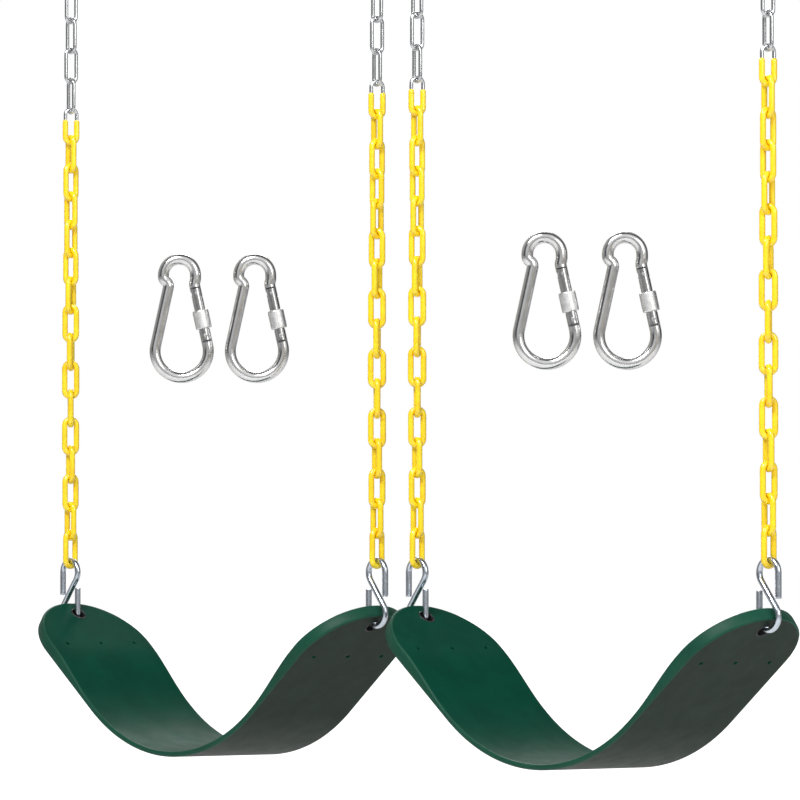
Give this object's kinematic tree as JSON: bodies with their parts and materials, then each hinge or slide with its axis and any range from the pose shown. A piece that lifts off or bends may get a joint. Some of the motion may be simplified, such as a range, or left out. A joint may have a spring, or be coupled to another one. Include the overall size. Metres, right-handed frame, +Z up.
{
  "type": "swing set",
  "caption": "Belt swings with curved rubber sling seats on yellow vinyl-dipped steel chain with S-hooks, shown with their loose screw-lock carabiners.",
  "frame": {"origin": "midway between the two swings, in the chains' plane, at the height of the lowest point of the seats", "axes": "+Z up; X runs along the beam that the swings hang from, from swing A to swing B; Y is the swinging direction"},
  "size_m": [1.1486, 0.14, 0.8904],
  "materials": {
    "zinc_chain": "bright zinc plate",
    "yellow_vinyl": "glossy dipped vinyl",
    "zinc_hook": "bright zinc plate, slightly blue",
    "green_rubber": "moulded matt rubber",
    "insert_steel": "plain sheet steel, hidden in the rubber",
    "black_bushing": "black wear ring",
    "carabiner_chrome": "polished plate",
    "pin_steel": "plain",
    "spring_steel": "plain",
    "knurled_sleeve": "satin knurl"
  },
  "bodies": {
    "hanging_points": {"swing_a_left_top_link": "zinc_chain", "swing_a_right_top_link": "zinc_chain", "carabiner_a1_frame": "carabiner_chrome", "carabiner_a1_gate_pin": "pin_steel", "carabiner_a2_frame": "carabiner_chrome", "carabiner_a2_gate_pin": "pin_steel", "swing_b_left_top_link": "zinc_chain", "swing_b_right_top_link": "zinc_chain", "carabiner_b1_frame": "carabiner_chrome", "carabiner_b1_gate_pin": "pin_steel", "carabiner_b2_frame": "carabiner_chrome", "carabiner_b2_gate_pin": "pin_steel"},
    "swing_a_left_second_link": {"swing_a_left_second_link": "zinc_chain"},
    "swing_a_left_plain_chain": {"swing_a_left_plain_chain": "zinc_chain"},
    "swing_a_left_coated_chain": {"swing_a_left_half_dipped_link": "zinc_chain", "swing_a_left_chain_cores": "zinc_chain", "swing_a_left_yellow_coating": "yellow_vinyl"},
    "swing_a_left_s_hook": {"swing_a_left_s_hook": "zinc_hook"},
    "swing_a_right_second_link": {"swing_a_right_second_link": "zinc_chain"},
    "swing_a_right_plain_chain": {"swing_a_right_plain_chain": "zinc_chain"},
    "swing_a_right_coated_chain": {"swing_a_right_half_dipped_link": "zinc_chain", "swing_a_right_chain_cores": "zinc_chain", "swing_a_right_yellow_coating": "yellow_vinyl"},
    "swing_a_right_s_hook": {"swing_a_right_s_hook": "zinc_hook"},
    "swing_a_seat": {"swing_a_belt_seat": "green_rubber", "swing_a_left_insert_plate": "insert_steel", "swing_a_left_bushing": "black_bushing", "swing_a_right_insert_plate": "insert_steel", "swing_a_right_bushing": "black_bushing"},
    "carabiner_a1_gate": {"carabiner_a1_gate": "carabiner_chrome", "carabiner_a1_gate_spring": "spring_steel"},
    "carabiner_a1_sleeve": {"carabiner_a1_lock_sleeve": "knurled_sleeve"},
    "carabiner_a2_gate": {"carabiner_a2_gate": "carabiner_chrome", "carabiner_a2_gate_spring": "spring_steel"},
    "carabiner_a2_sleeve": {"carabiner_a2_lock_sleeve": "knurled_sleeve"},
    "swing_b_left_second_link": {"swing_b_left_second_link": "zinc_chain"},
    "swing_b_left_plain_chain": {"swing_b_left_plain_chain": "zinc_chain"},
    "swing_b_left_coated_chain": {"swing_b_left_half_dipped_link": "zinc_chain", "swing_b_left_chain_cores": "zinc_chain", "swing_b_left_yellow_coating": "yellow_vinyl"},
    "swing_b_left_s_hook": {"swing_b_left_s_hook": "zinc_hook"},
    "swing_b_right_second_link": {"swing_b_right_second_link": "zinc_chain"},
    "swing_b_right_plain_chain": {"swing_b_right_plain_chain": "zinc_chain"},
    "swing_b_right_coated_chain": {"swing_b_right_half_dipped_link": "zinc_chain", "swing_b_right_chain_cores": "zinc_chain", "swing_b_right_yellow_coating": "yellow_vinyl"},
    "swing_b_right_s_hook": {"swing_b_right_s_hook": "zinc_hook"},
    "swing_b_seat": {"swing_b_belt_seat": "green_rubber", "swing_b_left_insert_plate": "insert_steel", "swing_b_left_bushing": "black_bushing", "swing_b_right_insert_plate": "insert_steel", "swing_b_right_bushing": "black_bushing"},
    "carabiner_b1_gate": {"carabiner_b1_gate": "carabiner_chrome", "carabiner_b1_gate_spring": "spring_steel"},
    "carabiner_b1_sleeve": {"carabiner_b1_lock_sleeve": "knurled_sleeve"},
    "carabiner_b2_gate": {"carabiner_b2_gate": "carabiner_chrome", "carabiner_b2_gate_spring": "spring_steel"},
    "carabiner_b2_sleeve": {"carabiner_b2_lock_sleeve": "knurled_sleeve"}
  },
  "joints": [
    {"name": "swing_a_left_fore_aft", "type": "hinge", "parent": "hanging_points", "child": "swing_a_left_second_link", "pos_m": [-0.55776, 0, 0.85038], "axis": [1, 0, 0], "range_deg": [-55, 55]},
    {"name": "swing_a_left_knee", "type": "hinge", "parent": "swing_a_left_second_link", "child": "swing_a_left_plain_chain", "pos_m": [-0.55776, 0, 0.82098], "axis": [1, 0, 0], "range_deg": [-25, 25]},
    {"name": "swing_a_left_sway", "type": "hinge", "parent": "swing_a_left_plain_chain", "child": "swing_a_left_coated_chain", "pos_m": [-0.55776, 0, 0.71948], "axis": [0, 1, 0], "range_deg": [-2, 12]},
    {"name": "swing_a_left_hook_level", "type": "hinge", "parent": "swing_a_left_coated_chain", "child": "swing_a_left_s_hook", "pos_m": [-0.55776, 0, 0.20598], "axis": [0, 1, 0], "range_deg": [-12, 2]},
    {"name": "swing_a_right_fore_aft", "type": "hinge", "parent": "hanging_points", "child": "swing_a_right_second_link", "pos_m": [-0.03224, 0, 0.85038], "axis": [1, 0, 0], "range_deg": [-55, 55]},
    {"name": "swing_a_right_knee", "type": "hinge", "parent": "swing_a_right_second_link", "child": "swing_a_right_plain_chain", "pos_m": [-0.03224, 0, 0.82098], "axis": [1, 0, 0], "range_deg": [-25, 25]},
    {"name": "swing_a_right_sway", "type": "hinge", "parent": "swing_a_right_plain_chain", "child": "swing_a_right_coated_chain", "pos_m": [-0.03224, 0, 0.71948], "axis": [0, 1, 0], "range_deg": [-2, 12]},
    {"name": "swing_a_right_hook_level", "type": "hinge", "parent": "swing_a_right_coated_chain", "child": "swing_a_right_s_hook", "pos_m": [-0.03224, 0, 0.20598], "axis": [0, 1, 0], "range_deg": [-12, 2]},
    {"name": "swing_a_seat_pitch", "type": "hinge", "parent": "swing_a_left_s_hook", "child": "swing_a_seat", "pos_m": [-0.295, 0, 0.148], "axis": [1, 0, 0], "range_deg": [-14, 14]},
    {"name": "carabiner_a1_gate_swing", "type": "hinge", "parent": "hanging_points", "child": "carabiner_a1_gate", "pos_m": [-0.30478, -0.01125, 0.45682], "axis": [0.7547, -0.6561, 0], "range_deg": [0, 20], "stiffness_Nm_per_rad": 0.6, "springref_deg": -51.57},
    {"name": "carabiner_a1_sleeve_screw", "type": "slide", "parent": "carabiner_a1_gate", "child": "carabiner_a1_sleeve", "axis": [0.1398, 0.1608, -0.977], "range_m": [-0.026, 0]},
    {"name": "carabiner_a2_gate_swing", "type": "hinge", "parent": "hanging_points", "child": "carabiner_a2_gate", "pos_m": [-0.25098, 0.05064, 0.45682], "axis": [0.7547, -0.6561, 0], "range_deg": [0, 20], "stiffness_Nm_per_rad": 0.6, "springref_deg": -51.57},
    {"name": "carabiner_a2_sleeve_screw", "type": "slide", "parent": "carabiner_a2_gate", "child": "carabiner_a2_sleeve", "axis": [0.1398, 0.1608, -0.977], "range_m": [-0.026, 0]},
    {"name": "swing_b_left_fore_aft", "type": "hinge", "parent": "hanging_points", "child": "swing_b_left_second_link", "pos_m": [0.03224, 0, 0.85038], "axis": [1, 0, 0], "range_deg": [-55, 55]},
    {"name": "swing_b_left_knee", "type": "hinge", "parent": "swing_b_left_second_link", "child": "swing_b_left_plain_chain", "pos_m": [0.03224, 0, 0.82098], "axis": [1, 0, 0], "range_deg": [-25, 25]},
    {"name": "swing_b_left_sway", "type": "hinge", "parent": "swing_b_left_plain_chain", "child": "swing_b_left_coated_chain", "pos_m": [0.03224, 0, 0.71948], "axis": [0, 1, 0], "range_deg": [-12, 2]},
    {"name": "swing_b_left_hook_level", "type": "hinge", "parent": "swing_b_left_coated_chain", "child": "swing_b_left_s_hook", "pos_m": [0.03224, 0, 0.20598], "axis": [0, 1, 0], "range_deg": [-2, 12]},
    {"name": "swing_b_right_fore_aft", "type": "hinge", "parent": "hanging_points", "child": "swing_b_right_second_link", "pos_m": [0.55776, 0, 0.85038], "axis": [1, 0, 0], "range_deg": [-55, 55]},
    {"name": "swing_b_right_knee", "type": "hinge", "parent": "swing_b_right_second_link", "child": "swing_b_right_plain_chain", "pos_m": [0.55776, 0, 0.82098], "axis": [1, 0, 0], "range_deg": [-25, 25]},
    {"name": "swing_b_right_sway", "type": "hinge", "parent": "swing_b_right_plain_chain", "child": "swing_b_right_coated_chain", "pos_m": [0.55776, 0, 0.71948], "axis": [0, 1, 0], "range_deg": [-12, 2]},
    {"name": "swing_b_right_hook_level", "type": "hinge", "parent": "swing_b_right_coated_chain", "child": "swing_b_right_s_hook", "pos_m": [0.55776, 0, 0.20598], "axis": [0, 1, 0], "range_deg": [-2, 12]},
    {"name": "swing_b_seat_pitch", "type": "hinge", "parent": "swing_b_left_s_hook", "child": "swing_b_seat", "pos_m": [0.295, 0, 0.148], "axis": [1, 0, 0], "range_deg": [-14, 14]},
    {"name": "carabiner_b1_gate_swing", "type": "hinge", "parent": "hanging_points", "child": "carabiner_b1_gate", "pos_m": [0.28522, -0.01125, 0.45682], "axis": [0.7547, -0.6561, 0], "range_deg": [0, 20], "stiffness_Nm_per_rad": 0.6, "springref_deg": -51.57},
    {"name": "carabiner_b1_sleeve_screw", "type": "slide", "parent": "carabiner_b1_gate", "child": "carabiner_b1_sleeve", "axis": [0.1398, 0.1608, -0.977], "range_m": [-0.026, 0]},
    {"name": "carabiner_b2_gate_swing", "type": "hinge", "parent": "hanging_points", "child": "carabiner_b2_gate", "pos_m": [0.33902, 0.05064, 0.45682], "axis": [0.7547, -0.6561, 0], "range_deg": [0, 20], "stiffness_Nm_per_rad": 0.6, "springref_deg": -51.57},
    {"name": "carabiner_b2_sleeve_screw", "type": "slide", "parent": "carabiner_b2_gate", "child": "carabiner_b2_sleeve", "axis": [0.1398, 0.1608, -0.977], "range_m": [-0.026, 0]}
  ],
  "couplings": [
    {"joint": "swing_a_left_hook_level", "follows": "swing_a_left_sway", "ratio": -1},
    {"joint": "swing_a_right_hook_level", "follows": "swing_a_left_sway", "ratio": -1},
    {"joint": "swing_a_right_fore_aft", "follows": "swing_a_left_fore_aft", "ratio": 1},
    {"joint": "swing_a_right_sway", "follows": "swing_a_left_sway", "ratio": 1},
    {"joint": "swing_a_right_knee", "follows": "swing_a_left_knee", "ratio": 1},
    {"joint": "swing_b_left_hook_level", "follows": "swing_b_left_sway", "ratio": -1},
    {"joint": "swing_b_right_hook_level", "follows": "swing_b_left_sway", "ratio": -1},
    {"joint": "swing_b_right_fore_aft", "follows": "swing_b_left_fore_aft", "ratio": 1},
    {"joint": "swing_b_right_sway", "follows": "swing_b_left_sway", "ratio": 1},
    {"joint": "swing_b_right_knee", "follows": "swing_b_left_knee", "ratio": 1}
  ]
}
